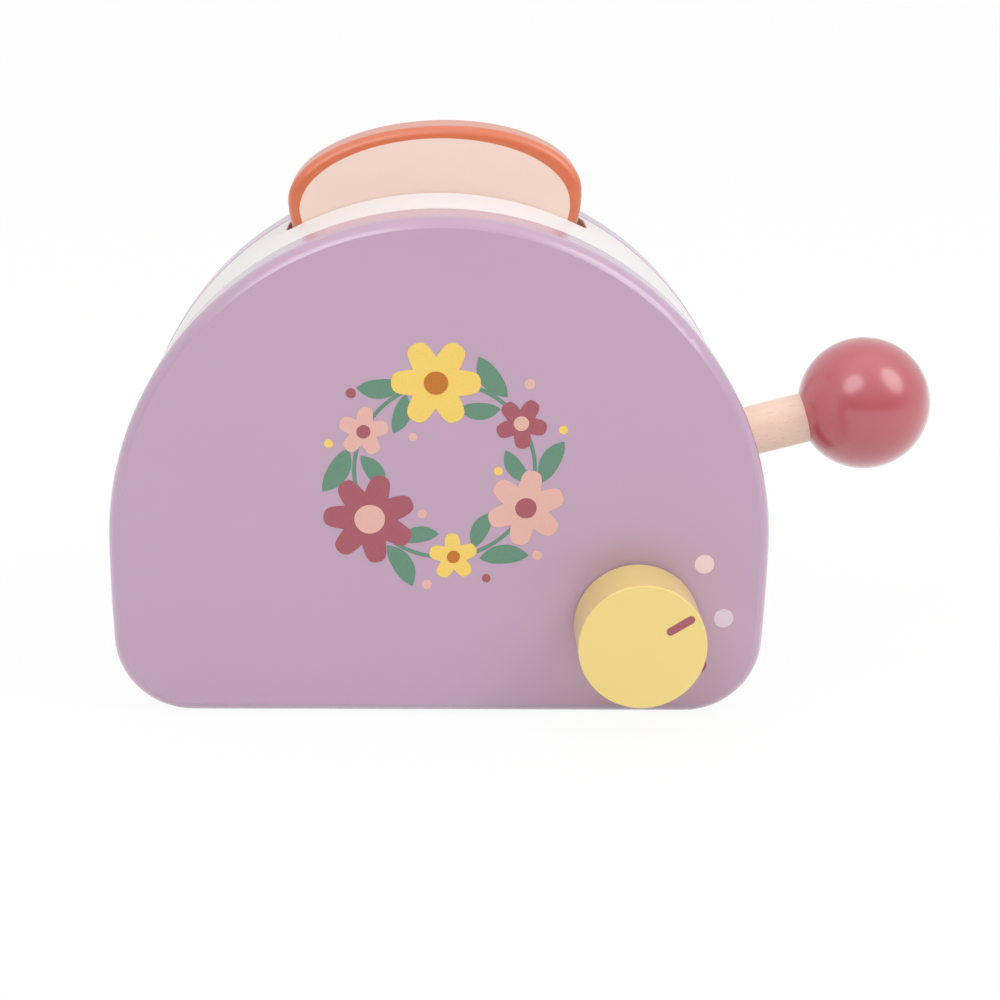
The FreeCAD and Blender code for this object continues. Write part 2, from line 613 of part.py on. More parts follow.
NODES = {
    "front_panel": front_panel(),
    "rear_panel": rear_panel(),
    "arch_shell": arch_shell(),
    "base_board": base_board(),
    "arch_batten_left": arch_batten(-1),
    "arch_batten_right": arch_batten(1),
    "panel_dowels": group(joint_dowels()),
    "rear_panel_screws": group(back_screws(wood_screw)),
    "front_guide_board": guide_board(FRONT_GUIDE_Y - GUIDE_THICKNESS, FRONT_GUIDE_Y),
    "rear_guide_board": guide_board(BACK_GUIDE_Y, INNER_BACK_Y),
    "well_end_left": well_end(-1),
    "well_end_right": well_end(1),
    "pivot_pin": pivot_pin(),
    "pivot_spacer": pivot_spacer(),
    "stop_peg": stop_peg(),
    "landing_pad": landing_pad(),
    "return_spring": return_spring(),
    "spindle_washer": spindle_washer(),
    "click_leaf": click_leaf(),
    "click_leaf_block": click_leaf_block(),
    "click_leaf_screws": group(leaf_screws(wood_screw)),
    "lever_rod": lever_rod(),
    "lever_ball": lever_ball(),
    "spring_peg": spring_peg(),
    "lift_platform": lift_platform(),
    "lift_upright_left": lift_upright(-1),
    "lift_upright_right": lift_upright(1),
    "lift_post": lift_post(),
    "toast_slice": toast_slice(),
    "knob": knob(),
    "knob_spindle": knob_spindle(),
    "click_wheel": click_wheel(),
}

os.makedirs("parts", exist_ok=True)
for name, shape in NODES.items():
    shape.exportStep("parts/" + name + ".step")
    print(name, "valid" if shape.isValid() else "INVALID", len(shape.Solids), "solids",
          round(shape.Volume / 1000, 2), "cm3")

fall = (PIVOT_Z + (SLOT_X - PIVOT_X) * math.tan(PRESSED_ANGLE)
        + (LEVER_ROD_RADIUS + POST_RADIUS + POST_GAP) / math.cos(PRESSED_ANGLE))
lift = post_ball_centre().z - fall
print("carriage travel", round(lift, 3), "mm, per radian", round(lift / math.radians(LEVER_TRAVEL), 3))
print("ball centre", along_lever(LEVER_LENGTH, 0), "spring foot", spring_foot())
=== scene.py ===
import json
import math

import bpy
from mathutils import Matrix, Vector

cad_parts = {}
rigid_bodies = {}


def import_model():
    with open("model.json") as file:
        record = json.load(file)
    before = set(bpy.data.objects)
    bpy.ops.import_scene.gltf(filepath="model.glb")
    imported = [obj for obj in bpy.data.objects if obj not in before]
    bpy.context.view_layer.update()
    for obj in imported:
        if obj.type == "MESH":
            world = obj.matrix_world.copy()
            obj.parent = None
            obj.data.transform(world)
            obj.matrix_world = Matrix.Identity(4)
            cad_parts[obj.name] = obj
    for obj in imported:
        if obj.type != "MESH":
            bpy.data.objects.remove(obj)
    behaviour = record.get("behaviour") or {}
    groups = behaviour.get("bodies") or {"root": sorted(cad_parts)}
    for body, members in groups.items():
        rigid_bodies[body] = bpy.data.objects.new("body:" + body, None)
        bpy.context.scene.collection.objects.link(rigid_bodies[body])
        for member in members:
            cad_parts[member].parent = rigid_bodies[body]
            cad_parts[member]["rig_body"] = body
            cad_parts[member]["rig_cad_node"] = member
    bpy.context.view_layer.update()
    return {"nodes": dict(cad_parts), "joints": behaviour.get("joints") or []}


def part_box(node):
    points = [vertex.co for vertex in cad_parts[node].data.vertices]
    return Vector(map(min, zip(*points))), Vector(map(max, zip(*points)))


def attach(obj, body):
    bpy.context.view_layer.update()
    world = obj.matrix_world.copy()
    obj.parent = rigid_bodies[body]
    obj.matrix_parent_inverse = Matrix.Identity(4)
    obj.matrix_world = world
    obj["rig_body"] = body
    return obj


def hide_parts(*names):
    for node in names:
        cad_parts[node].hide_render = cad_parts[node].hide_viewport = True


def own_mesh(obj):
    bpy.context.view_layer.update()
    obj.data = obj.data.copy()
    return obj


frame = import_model()
nodes = frame["nodes"]
mm = 0.001
hair = 0.01  # mm that two places may differ by and still count as one
leverTilt = 14.8  # degrees that the lever stands up at rest

# a Mix node has its own sockets for colours and for plain numbers, told apart by these places
mixFactor = 0
mixColourA, mixColourB, mixColourOut = 6, 7, 2
mixNumberA, mixNumberB, mixNumberOut = 2, 3, 0


# paint-chart hex to the linear values that shaders take
def toLinear(hexCode):
    parts = [int(hexCode[at:at + 2], 16) / 255 for at in (1, 3, 5)]
    return (*(c / 12.92 if c <= 0.04045 else ((c + 0.055) / 1.055) ** 2.4 for c in parts), 1.0)


def toRadians(turn):
    return tuple(math.radians(angle) for angle in turn)


# adds one shader node: capitalised keys are sockets, small ones are the node's own settings
def addNode(tree, kind, values=None, wires=None):
    node = tree.nodes.new("ShaderNode" + kind)
    for key, value in (values or {}).items():
        if key == "stops":
            while len(node.color_ramp.elements) < len(value):
                node.color_ramp.elements.new(0.5)
            for stop, (position, hexCode) in zip(node.color_ramp.elements, value):
                stop.position = position
                stop.color = toLinear(hexCode)
        elif isinstance(key, int) or key[0].isupper():
            node.inputs[key].default_value = value
        else:
            setattr(node, key, value)
    for key, (source, output) in (wires or {}).items():
        wire(tree, source, output, node, key)
    return node


def wire(tree, source, output, node, socket):
    tree.links.new(source.outputs[output], node.inputs[socket])


def newFinish(name):
    finish = bpy.data.materials.new(name)
    finish.use_nodes = True
    tree = finish.node_tree
    return finish, tree, tree.nodes["Principled BSDF"], addNode(tree, "TexCoord")


# one fine noise that both tints the colour and dents the surface: size and depth are in mm, and
# tonesAt is where on the noise each tone starts
def addGrain(tree, shader, place, grain, tones):
    noise = addNode(tree, "TexNoise", {"Scale": 1 / (grain["size"] * mm), "Detail": grain["detail"],
                                       "Distortion": grain["waver"]}, {"Vector": (place, "Object")})
    tint = addNode(tree, "ValToRGB", {"stops": list(zip(grain["tonesAt"], tones))},
                   {"Fac": (noise, "Fac")})
    wire(tree, tint, "Color", shader, "Base Color")
    dents = addNode(tree, "Bump", {"Strength": 1.0, "Distance": grain["depth"] * mm},
                    {"Height": (noise, "Fac")})
    wire(tree, dents, "Normal", shader, "Normal")


# Water-based lacquer, sprayed on sanded board in two coats. It gives the eye an even colour with
# a barely seen cloudiness, a smooth sheen that mirrors at the grazing edges, and a low orange peel.
# Lilac's roughness stays under 0.27, where the denoiser's view of a gloss changes: one that crosses
# it shows a patch.
lacquers = {
    "lilac": {"clear": "#BC9DB7", "cloudy": "#B99AB3",
              "roughness": 0.26, "coat": 0.9, "coatRoughness": 0.26},
    "white": {"clear": "#ECE7E7", "cloudy": "#E6E1E0",
              "roughness": 0.42, "coat": 0.0, "coatRoughness": 0.3},
    "crust": {"clear": "#DB7043", "cloudy": "#D3683D",
              "roughness": 0.45, "coat": 1.0, "coatRoughness": 0.3},
    "yellow": {"clear": "#EED582", "cloudy": "#E8CF7B",
               "roughness": 0.30, "coat": 0.6, "coatRoughness": 0.26},
    "rose": {"clear": "#BC5B65", "cloudy": "#B6555F",
             "roughness": 0.26, "coat": 1.0, "coatRoughness": 0.2},
}
# sizes in mm: clouds are as wide as a pass of the spray gun, and the peel is drawn coarser than
# the real one, so that it doesn't turn to speckle from afar
lacquerGrain = {"cloud": 60.0, "cloudDetail": 3.0, "cloudySpot": 0.1, "clearSpot": 0.9,
                "peel": 5.0, "peelDetail": 1.0, "peelDepth": 0.003, "sheenSpread": 0.01, "ior": 1.5}


def sprayedLacquer(name, spray):
    finish, tree, shader, place = newFinish(name)
    cloud = addNode(tree, "TexNoise", {"Scale": 1 / (lacquerGrain["cloud"] * mm),
                                       "Detail": lacquerGrain["cloudDetail"]},
                    {"Vector": (place, "Object")})
    tint = addNode(tree, "ValToRGB", {"stops": [(lacquerGrain["cloudySpot"], spray["cloudy"]),
                                                (lacquerGrain["clearSpot"], spray["clear"])]},
                   {"Fac": (cloud, "Fac")})
    wire(tree, tint, "Color", shader, "Base Color")
    sheen = addNode(tree, "MapRange", {"To Min": spray["roughness"] - lacquerGrain["sheenSpread"],
                                       "To Max": spray["roughness"] + lacquerGrain["sheenSpread"]},
                    {"Value": (cloud, "Fac")})
    wire(tree, sheen, "Result", shader, "Roughness")
    peel = addNode(tree, "TexNoise", {"Scale": 1 / (lacquerGrain["peel"] * mm),
                                      "Detail": lacquerGrain["peelDetail"]},
                   {"Vector": (place, "Object")})
    peelBump = addNode(tree, "Bump", {"Strength": 1.0, "Distance": lacquerGrain["peelDepth"] * mm},
                       {"Height": (peel, "Fac")})
    wire(tree, peelBump, "Normal", shader, "Normal")
    shader.inputs["IOR"].default_value = lacquerGrain["ior"]
    shader.inputs["Coat Weight"].default_value = spray["coat"]
    shader.inputs["Coat Roughness"].default_value = spray["coatRoughness"]
    return finish


# Steamed beech, planed or turned and then sanded: bare inside the toy, under a thin clear lacquer
# on the lever. It gives the eye a warm straw pink with soft bands along the grain and the short
# dark flecks that beech is known by.
bareStock = {"deep": "#C9A278", "mid": "#D9B68C", "pale": "#E2C49F", "fleck": "#A9805A",
             "roughness": 0.62}
# turn: degrees that bring the grain, which runs along X, to the way it runs in the piece
beeches = {
    "bare": {**bareStock, "turn": (0, 0, 0)},
    "upright": {**bareStock, "turn": (0, 90, 0)},
    "across": {**bareStock, "turn": (0, 0, 90)},
    "lever": {"deep": "#EACAB7", "mid": "#EDCEBC", "pale": "#EFD1C0", "fleck": "#E0BCA6",
              "roughness": 0.45, "turn": (0, -leverTilt, 0)},
}
# the length of each figure along the grain and its width across it, in mm
beechLayers = {
    "band": {"along": 90.0, "wide": 3.2, "detail": 3.0, "waver": 0.4},
    "fleck": {"along": 2.6, "wide": 0.32, "detail": 0.0, "waver": 0.0},
    "fibre": {"along": 7.0, "wide": 0.16, "detail": 2.0, "waver": 0.0},
}
beechGrain = {"tones": {"deep": 0.3, "mid": 0.5, "pale": 0.7}, "fleckFrom": 0.66, "fleckFull": 0.74,
              "fleckShare": 0.75, "fibreDepth": 0.012, "sheenSpread": 0.08, "ior": 1.5}


def plainBeech(name, stock):
    finish, tree, shader, place = newFinish(name)
    layers = {}
    for layerName, layer in beechLayers.items():
        run = addNode(tree, "Mapping", {"vector_type": "TEXTURE", "Rotation": toRadians(stock["turn"]),
                                        "Scale": (layer["along"] * mm, layer["wide"] * mm,
                                                  layer["wide"] * mm)},
                      {"Vector": (place, "Object")})
        layers[layerName] = addNode(tree, "TexNoise", {"Scale": 1.0, "Detail": layer["detail"],
                                                       "Distortion": layer["waver"]},
                                    {"Vector": (run, "Vector")})
    tone = addNode(tree, "ValToRGB",
                   {"stops": [(at, stock[shade]) for shade, at in beechGrain["tones"].items()]},
                   {"Fac": (layers["band"], "Fac")})
    fleckMask = addNode(tree, "MapRange", {"From Min": beechGrain["fleckFrom"],
                                           "From Max": beechGrain["fleckFull"],
                                           "To Max": beechGrain["fleckShare"]},
                        {"Value": (layers["fleck"], "Fac")})
    flecked = addNode(tree, "Mix", {"data_type": "RGBA", mixColourB: toLinear(stock["fleck"])},
                      {mixFactor: (fleckMask, "Result"), mixColourA: (tone, "Color")})
    wire(tree, flecked, mixColourOut, shader, "Base Color")
    bump = addNode(tree, "Bump", {"Strength": 1.0, "Distance": beechGrain["fibreDepth"] * mm},
                   {"Height": (layers["fibre"], "Fac")})
    wire(tree, bump, "Normal", shader, "Normal")
    sheen = addNode(tree, "MapRange", {"To Min": stock["roughness"] - beechGrain["sheenSpread"],
                                       "To Max": stock["roughness"] + beechGrain["sheenSpread"]},
                    {"Value": (layers["fibre"], "Fac")})
    wire(tree, sheen, "Result", shader, "Roughness")
    shader.inputs["IOR"].default_value = beechGrain["ior"]
    return finish


# Birch plywood, laser cut. It gives the eye a pale silky face veneer, and edges where light long
# grain and darker end grain lie in turn with thin glue lines between them.
birch = {"pale": "#EBD9B8", "deep": "#DCC49B", "longEdge": "#D9BF93", "endEdge": "#B08A5C",
         "glue": "#6E4E31", "roughness": 0.58}
birchGrain = {"along": 60.0, "wide": 2.4, "detail": 4.0, "waver": 0.6,
              "tones": {"deep": 0.3, "pale": 0.7}, "depth": 0.02, "veneer": 1.0, "faceFrom": 0.7}
# where each tone starts on the edge of a pair of veneers
birchEdge = [(0.0, "longEdge"), (0.44, "longEdge"), (0.48, "glue"),
             (0.53, "endEdge"), (0.93, "endEdge"), (0.98, "glue")]
# degrees that lay the grain in the face of a board whose veneers are stacked along an axis
birchTurns = {"X": (0, 0, 90), "Y": (0, 0, 0), "Z": (90, 0, 0)}


def birchPly(name, through):
    finish, tree, shader, place = newFinish(name)
    run = addNode(tree, "Mapping", {"vector_type": "TEXTURE", "Rotation": toRadians(birchTurns[through]),
                                    "Scale": (birchGrain["along"] * mm, birchGrain["wide"] * mm,
                                              birchGrain["wide"] * mm)},
                  {"Vector": (place, "Object")})
    figure = addNode(tree, "TexNoise", {"Scale": 1.0, "Detail": birchGrain["detail"],
                                        "Distortion": birchGrain["waver"]},
                     {"Vector": (run, "Vector")})
    veneer = addNode(tree, "ValToRGB",
                     {"stops": [(at, birch[shade]) for shade, at in birchGrain["tones"].items()]},
                     {"Fac": (figure, "Fac")})
    where = addNode(tree, "SeparateXYZ", None, {"Vector": (place, "Object")})
    stack = addNode(tree, "Math", {"operation": "DIVIDE", 1: 2 * birchGrain["veneer"] * mm},
                    {0: (where, through)})
    inPair = addNode(tree, "Math", {"operation": "FRACT"}, {0: (stack, "Value")})
    edge = addNode(tree, "ValToRGB", {"stops": [(at, birch[shade]) for at, shade in birchEdge]},
                   {"Fac": (inPair, "Value")})
    facing = addNode(tree, "SeparateXYZ", None, {"Vector": (place, "Normal")})
    squareOn = addNode(tree, "Math", {"operation": "ABSOLUTE"}, {0: (facing, through)})
    isFace = addNode(tree, "Math", {"operation": "GREATER_THAN", 1: birchGrain["faceFrom"]},
                     {0: (squareOn, "Value")})
    shown = addNode(tree, "Mix", {"data_type": "RGBA"},
                    {mixFactor: (isFace, "Value"), mixColourA: (edge, "Color"),
                     mixColourB: (veneer, "Color")})
    wire(tree, shown, mixColourOut, shader, "Base Color")
    bump = addNode(tree, "Bump", {"Strength": 1.0, "Distance": birchGrain["depth"] * mm},
                   {"Height": (figure, "Fac")})
    wire(tree, bump, "Normal", shader, "Normal")
    shader.inputs["Roughness"].default_value = birch["roughness"]
    return finish


# Zinc-plated steel, drawn or rolled. It gives the eye a cool grey mirror broken by fine draw lines.
steel = {"dull": "#A3A7AA", "bright": "#B9BCBE", "roughness": 0.3}
steelGrain = {"size": 0.12, "detail": 2.0, "waver": 0.0, "tonesAt": (0.35, 0.65), "depth": 0.002}


def platedSteel(name):
    finish, tree, shader, place = newFinish(name)
    addGrain(tree, shader, place, steelGrain, (steel["dull"], steel["bright"]))
    shader.inputs["Metallic"].default_value = 1.0
    shader.inputs["Roughness"].default_value = steel["roughness"]
    return finish


# Pressed wool felt. It gives the eye a matt, fuzzy grey with lighter stray fibres.
felt = {"deep": "#6A666C", "pale": "#8E8A90", "roughness": 0.95, "fuzz": 0.4}
feltGrain = {"size": 0.35, "detail": 4.0, "waver": 2.0, "tonesAt": (0.35, 0.7), "depth": 0.15}


def pressedFelt(name):
    finish, tree, shader, place = newFinish(name)
    addGrain(tree, shader, place, feltGrain, (felt["deep"], felt["pale"]))
    shader.inputs["Roughness"].default_value = felt["roughness"]
    shader.inputs["Sheen Weight"].default_value = felt["fuzz"]
    return finish


# Turned nylon. It gives the eye a waxy off-white with faint tool rings.
nylon = {"deep": "#E0DED5", "pale": "#ECEBE4", "roughness": 0.4, "waxiness": 0.1, "waxDepth": 2.0}
nylonGrain = {"size": 0.3, "detail": 1.0, "waver": 0.0, "tonesAt": (0.4, 0.6), "depth": 0.004}


def turnedNylon(name):
    finish, tree, shader, place = newFinish(name)
    addGrain(tree, shader, place, nylonGrain, (nylon["deep"], nylon["pale"]))
    shader.inputs["Roughness"].default_value = nylon["roughness"]
    shader.inputs["Subsurface Weight"].default_value = nylon["waxiness"]
    shader.inputs["Subsurface Radius"].default_value = (nylon["waxDepth"] * mm,) * 3
    return finish


# Screen-printing ink, one pull per colour. It gives the eye flat matt-satin shapes with a crisp
# edge and the faint mottle of the mesh.
inks = {
    "green": {"mottle": "#5F8A73", "colour": "#659079"},
    "yellow": {"mottle": "#EFCB62", "colour": "#F3D16B"},
    "pink": {"mottle": "#E0AFA3", "colour": "#E4B5AA"},
    "maroon": {"mottle": "#A25460", "colour": "#A85A66"},
    "brown": {"mottle": "#BC6F19", "colour": "#C4761F"},
    "mist": {"mottle": "#D8C9DC", "colour": "#DBCCDF"},
    "blush": {"mottle": "#E9D2D2", "colour": "#ECD6D6"},
    "crumb": {"mottle": "#F1D7C9", "colour": "#F3DACD"},
}
inkRoughness = 0.44
inkGrain = {"size": 0.5, "detail": 3.0, "waver": 0.0, "tonesAt": (0.35, 0.65), "depth": 0.003}


def printedInk(name, ink):
    finish, tree, shader, place = newFinish(name)
    addGrain(tree, shader, place, inkGrain, (ink["mottle"], ink["colour"]))
    shader.inputs["Roughness"].default_value = inkRoughness
    return finish


finishes = {
    "lilac": sprayedLacquer("lilacSatinLacquer", lacquers["lilac"]),
    "white": sprayedLacquer("whiteSatinLacquer", lacquers["white"]),
    "crust": sprayedLacquer("toastedOrangeLacquer", lacquers["crust"]),
    "yellow": sprayedLacquer("butterYellowLacquer", lacquers["yellow"]),
    "rose": sprayedLacquer("roseGlossLacquer", lacquers["rose"]),
    "beech": plainBeech("bareBeech", beeches["bare"]),
    "beechUpright": plainBeech("bareBeechUpright", beeches["upright"]),
    "beechAcross": plainBeech("bareBeechAcross", beeches["across"]),
    "beechLever": plainBeech("lacqueredBeechLever", beeches["lever"]),
    "plyAcross": birchPly("birchPlyOnEdge", "Y"),
    "plyLevel": birchPly("birchPlyLevel", "Z"),
    "plyUpright": birchPly("birchPlyUpright", "X"),
    "steel": platedSteel("zincPlatedSteel"),
    "felt": pressedFelt("greyWoolFelt"),
    "nylon": turnedNylon("turnedNylon"),
}
for inkName, ink in inks.items():
    finishes[inkName + "Ink"] = printedInk(inkName + "ScreenInk", ink)
nodeFinishes = {
    "lilac": ["front_panel", "rear_panel"],
    "white": ["arch_shell"],
    "crust": ["toast_slice"],
    "yellow": ["knob"],
    "rose": ["lever_ball"],
    "beech": ["click_leaf_block"],
    "beechUpright": ["lift_post", "spring_peg"],
    "beechAcross": ["arch_batten_left", "arch_batten_right", "panel_dowels", "stop_peg",
                    "knob_spindle", "pivot_spacer", "well_end_left", "well_end_right"],
    "beechLever": ["lever_rod"],
    "plyAcross": ["front_guide_board", "rear_guide_board", "click_wheel"],
    "plyLevel": ["base_board", "lift_platform"],
    "plyUpright": ["lift_upright_left", "lift_upright_right"],
    "steel": ["rear_panel_screws", "pivot_pin", "return_spring", "click_leaf", "click_leaf_screws"],
    "felt": ["landing_pad"],
    "nylon": ["spindle_washer"],
}
for finishName, members in nodeFinishes.items():
    for nodeName in members:
        for materialSlot in nodes[nodeName].material_slots:
            materialSlot.material = finishes[finishName]
print("finishes:", len(finishes))


# selects in edit mode the corners or faces that pass a test
def pick(piece, test, part="vertices"):
    bpy.ops.object.mode_set(mode="EDIT")
    bpy.ops.mesh.select_mode(type="FACE" if part == "polygons" else "VERT")
    bpy.ops.mesh.select_all(action="DESELECT")
    bpy.ops.object.mode_set(mode="OBJECT")
    for item in getattr(piece.data, part):
        item.select = test(item)
    bpy.ops.object.mode_set(mode="EDIT")


def onlySelect(piece):
    bpy.ops.object.select_all(action="DESELECT")
    piece.select_set(True)
    bpy.context.view_layer.objects.active = piece


def applyModifier(piece, kind, **settings):
    onlySelect(piece)
    modifier = piece.modifiers.new(kind.lower(), kind)
    for key, value in settings.items():
        setattr(modifier, key, value)
    bpy.ops.object.modifier_apply(modifier=modifier.name)


# the piece's place goes into its mesh, so that its object sits at the origin
def bakePlace(piece):
    onlySelect(piece)
    bpy.ops.object.transform_apply(location=True, rotation=True, scale=True)


# a flat shape in the board's plane, at the origin and facing the front
def flatCircle(name, corners, radius, filled=True):
    bpy.ops.object.select_all(action="DESELECT")
    bpy.ops.mesh.primitive_circle_add(vertices=corners, radius=radius * mm,
                                      fill_type="NGON" if filled else "NOTHING",
                                      rotation=(math.radians(90), 0, 0))
    shape = bpy.context.object
    shape.name = name
    shape.data.name = name
    bakePlace(shape)
    return shape


# ink heights in mm: how far the underside is sunk, the first pull, and each pull over it
inkHeights = {"sunk": 0.02, "first": 0.05, "step": 0.04}
# the pull that each shape is in; the leaves lie half a pull over the stem
pulls = {"stem": 0, "spot": 0, "leaf": 0.5, "bloom": 1, "heart": 2}
smoothLevels = 2
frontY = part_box("front_panel")[0].y


# turns a flat shape, sets it on the board and gives it the thickness of its pull of ink
def layInk(shape, x, z, turn, pull):
    shape.rotation_euler = (0, -math.radians(turn), 0)
    shape.location = (x * mm, frontY + inkHeights["sunk"] * mm, z * mm)
    bakePlace(shape)
    thickness = inkHeights["sunk"] + inkHeights["first"] + pull * inkHeights["step"]
    applyModifier(shape, "SOLIDIFY", offset=1.0, thickness=thickness * mm)
    return shape


def joinInk(shapes, name, ink):
    onlySelect(shapes[0])
    for shape in shapes:
        shape.select_set(True)
    if len(shapes) > 1:
        bpy.ops.object.join()
    piece = bpy.context.object
    piece.name = name
    piece.data.name = name
    piece.data.materials.clear()
    piece.data.materials.append(finishes[ink + "Ink"])
    return piece


def smoothOut(shape):
    bpy.ops.object.mode_set(mode="OBJECT")
    applyModifier(shape, "SUBSURF", levels=smoothLevels, render_levels=smoothLevels)
    return shape


# petals are pulled out of a circle: every fourth corner is drawn in and creased to a valley
petal = {"corners": 4, "shoulder": 1.02, "tip": 1.04, "crease": 0.75}


def makeBloom(bloom):
    petals = flatCircle("bloom", petal["corners"] * bloom["petals"], bloom["radius"])
    # the valleys come last, so that they are still picked for the crease
    reaches = {1: petal["shoulder"], 2: petal["tip"], 3: petal["shoulder"], 0: bloom["valley"]}
    for corner, reach in reaches.items():
        pick(petals, lambda v: v.index % petal["corners"] == corner)
        bpy.ops.transform.resize(value=(reach, 1, reach), center_override=(0, 0, 0))
    bpy.ops.transform.vert_crease(value=petal["crease"])
    return smoothOut(petals)


# a round that is pressed a little out of true, as a hand-cut stencil leaves it
spotCut = {"corners": 12, "squeeze": 0.94}


def makeSpot(radius, squeeze=spotCut["squeeze"]):
    spot = flatCircle("spot", spotCut["corners"], radius)
    pick(spot, lambda v: v.co.z > 0)
    bpy.ops.transform.resize(value=(1, 1, squeeze), center_override=(0, 0, 0))
    return smoothOut(spot)


# a round drawn out long, pinched towards both ends, creased at the tips and bent along its length
leafCut = {"corners": 12, "pinchFrom": 0.8, "pinch": 0.62, "tipFrom": 0.95, "bend": 0.16}


def makeLeaf(length, width):
    leaf = flatCircle("leaf", leafCut["corners"], 1.0)
    half = length / 2
    pick(leaf, lambda v: True)
    bpy.ops.transform.resize(value=(half, 1, width / 2), center_override=(0, 0, 0))
    pick(leaf, lambda v: abs(v.co.x) > leafCut["pinchFrom"] * half * mm and abs(v.co.z) > hair * mm)
    bpy.ops.transform.resize(value=(1, 1, leafCut["pinch"]), center_override=(0, 0, 0))
    pick(leaf, lambda v: abs(v.co.x) > leafCut["tipFrom"] * half * mm)
    bpy.ops.transform.vert_crease(value=1)
    for column in sorted({round(v.co.x / mm, 2) for v in leaf.data.vertices}):
        rise = leafCut["bend"] * width * (1 - (column / half) ** 2)
        pick(leaf, lambda v: abs(v.co.x / mm - column) < 2 * hair)
        bpy.ops.transform.translate(value=(0, 0, rise * mm))
    return smoothOut(leaf)


# the wreath on the front board, in mm and degrees round its centre: at is the place on the ring,
# off is how far outside the ring, turn and lean are how the shape is turned
wreath = {
    "x": 1.0, "z": 77.5, "radius": 27.0, "stem": 1.2, "stemCorners": 96,
    "blooms": [
        {"at": 214, "radius": 13.5, "petals": 7, "valley": 0.62, "turn": 10,
         "ink": "maroon", "heart": "pink", "heartRadius": 4.8},
        {"at": 96, "radius": 13.0, "petals": 6, "valley": 0.60, "turn": 0,
         "ink": "yellow", "heart": "brown", "heartRadius": 3.8},
        {"at": 335, "radius": 11.5, "petals": 6, "valley": 0.60, "turn": 20,
         "ink": "pink", "heart": "maroon", "heartRadius": 3.4},
        {"at": 154, "radius": 7.4, "petals": 5, "valley": 0.56, "turn": 30,
         "ink": "pink", "heart": "maroon", "heartRadius": 2.2},
        {"at": 33, "radius": 7.6, "petals": 5, "valley": 0.56, "turn": 5,
         "ink": "maroon", "heart": "pink", "heartRadius": 2.4},
        {"at": 276, "radius": 7.2, "petals": 5, "valley": 0.56, "turn": 40,
         "ink": "yellow", "heart": "brown", "heartRadius": 2.1},
    ],
    "leaves": [
        {"at": 64, "off": 5.0, "lean": 62, "length": 15.0, "width": 6.4},
        {"at": 62, "off": -5.4, "lean": 118, "length": 12.5, "width": 5.4},
        {"at": 127, "off": 5.2, "lean": 58, "length": 14.0, "width": 6.2},
        {"at": 128, "off": -5.0, "lean": 125, "length": 12.5, "width": 5.4},
        {"at": 180, "off": 5.6, "lean": 60, "length": 15.5, "width": 6.6},
        {"at": 182, "off": -5.4, "lean": 122, "length": 12.5, "width": 5.4},
        {"at": 246, "off": 5.6, "lean": 55, "length": 15.0, "width": 6.4},
        {"at": 250, "off": -5.0, "lean": 120, "length": 12.0, "width": 5.2},
        {"at": 304, "off": 5.4, "lean": 60, "length": 15.0, "width": 6.2},
        {"at": 302, "off": -5.2, "lean": 122, "length": 12.5, "width": 5.4},
        {"at": 5, "off": 5.4, "lean": 58, "length": 14.5, "width": 6.2},
        {"at": 4, "off": -5.4, "lean": 122, "length": 12.0, "width": 5.2},
    ],
    "berries": [
        {"at": 47, "off": 9.5, "radius": 1.7, "ink": "pink"},
        {"at": 20, "off": 10.5, "radius": 1.4, "ink": "yellow"},
        {"at": 140, "off": 9.5, "radius": 1.6, "ink": "maroon"},
        {"at": 167, "off": 8.5, "radius": 1.4, "ink": "yellow"},
        {"at": 244, "off": -12.0, "radius": 1.5, "ink": "pink"},
        {"at": 262, "off": 9.0, "radius": 1.6, "ink": "pink"},
        {"at": 291, "off": 9.0, "radius": 1.4, "ink": "maroon"},
        {"at": 317, "off": 11.5, "radius": 1.6, "ink": "pink"},
        {"at": 133, "off": -13.0, "radius": 1.4, "ink": "pink"},
        {"at": 0, "off": -11.0, "radius": 1.4, "ink": "yellow"},
    ],
}


def onWreath(at, off=0.0):
    angle = math.radians(at)
    reach = wreath["radius"] + off
    return wreath["x"] + reach * math.cos(angle), wreath["z"] + reach * math.sin(angle)


def makeStem():
    inner = wreath["radius"] - wreath["stem"] / 2
    outer = wreath["radius"] + wreath["stem"] / 2
    ring = flatCircle("stem", wreath["stemCorners"], inner, filled=False)
    pick(ring, lambda v: True)
    bpy.ops.mesh.extrude_edges_move(TRANSFORM_OT_translate={"value": (0, 0, 0)})
    bpy.ops.transform.resize(value=(outer / inner, 1, outer / inner), center_override=(0, 0, 0))
    bpy.ops.object.mode_set(mode="OBJECT")
    if ring.data.polygons[0].normal.y > 0:
        pick(ring, lambda face: True, "polygons")
        bpy.ops.mesh.flip_normals()
        bpy.ops.object.mode_set(mode="OBJECT")
    return ring


inkShapes = {name: [] for name in inks}
inkShapes["green"].append(layInk(makeStem(), wreath["x"], wreath["z"], 0, pulls["stem"]))
for leaf in wreath["leaves"]:
    x, z = onWreath(leaf["at"], leaf["off"])
    shape = makeLeaf(leaf["length"], leaf["width"])
    inkShapes["green"].append(layInk(shape, x, z, leaf["at"] + leaf["lean"], pulls["leaf"]))
for bloom in wreath["blooms"]:
    x, z = onWreath(bloom["at"])
    inkShapes[bloom["ink"]].append(layInk(makeBloom(bloom), x, z, bloom["turn"], pulls["bloom"]))
    heart = makeSpot(bloom["heartRadius"])
    inkShapes[bloom["heart"]].append(layInk(heart, x, z, bloom["turn"], pulls["heart"]))
for berry in wreath["berries"]:
    x, z = onWreath(berry["at"], berry["off"])
    shape = makeSpot(berry["radius"])
    inkShapes[berry["ink"]].append(layInk(shape, x, z, berry["at"], pulls["spot"]))

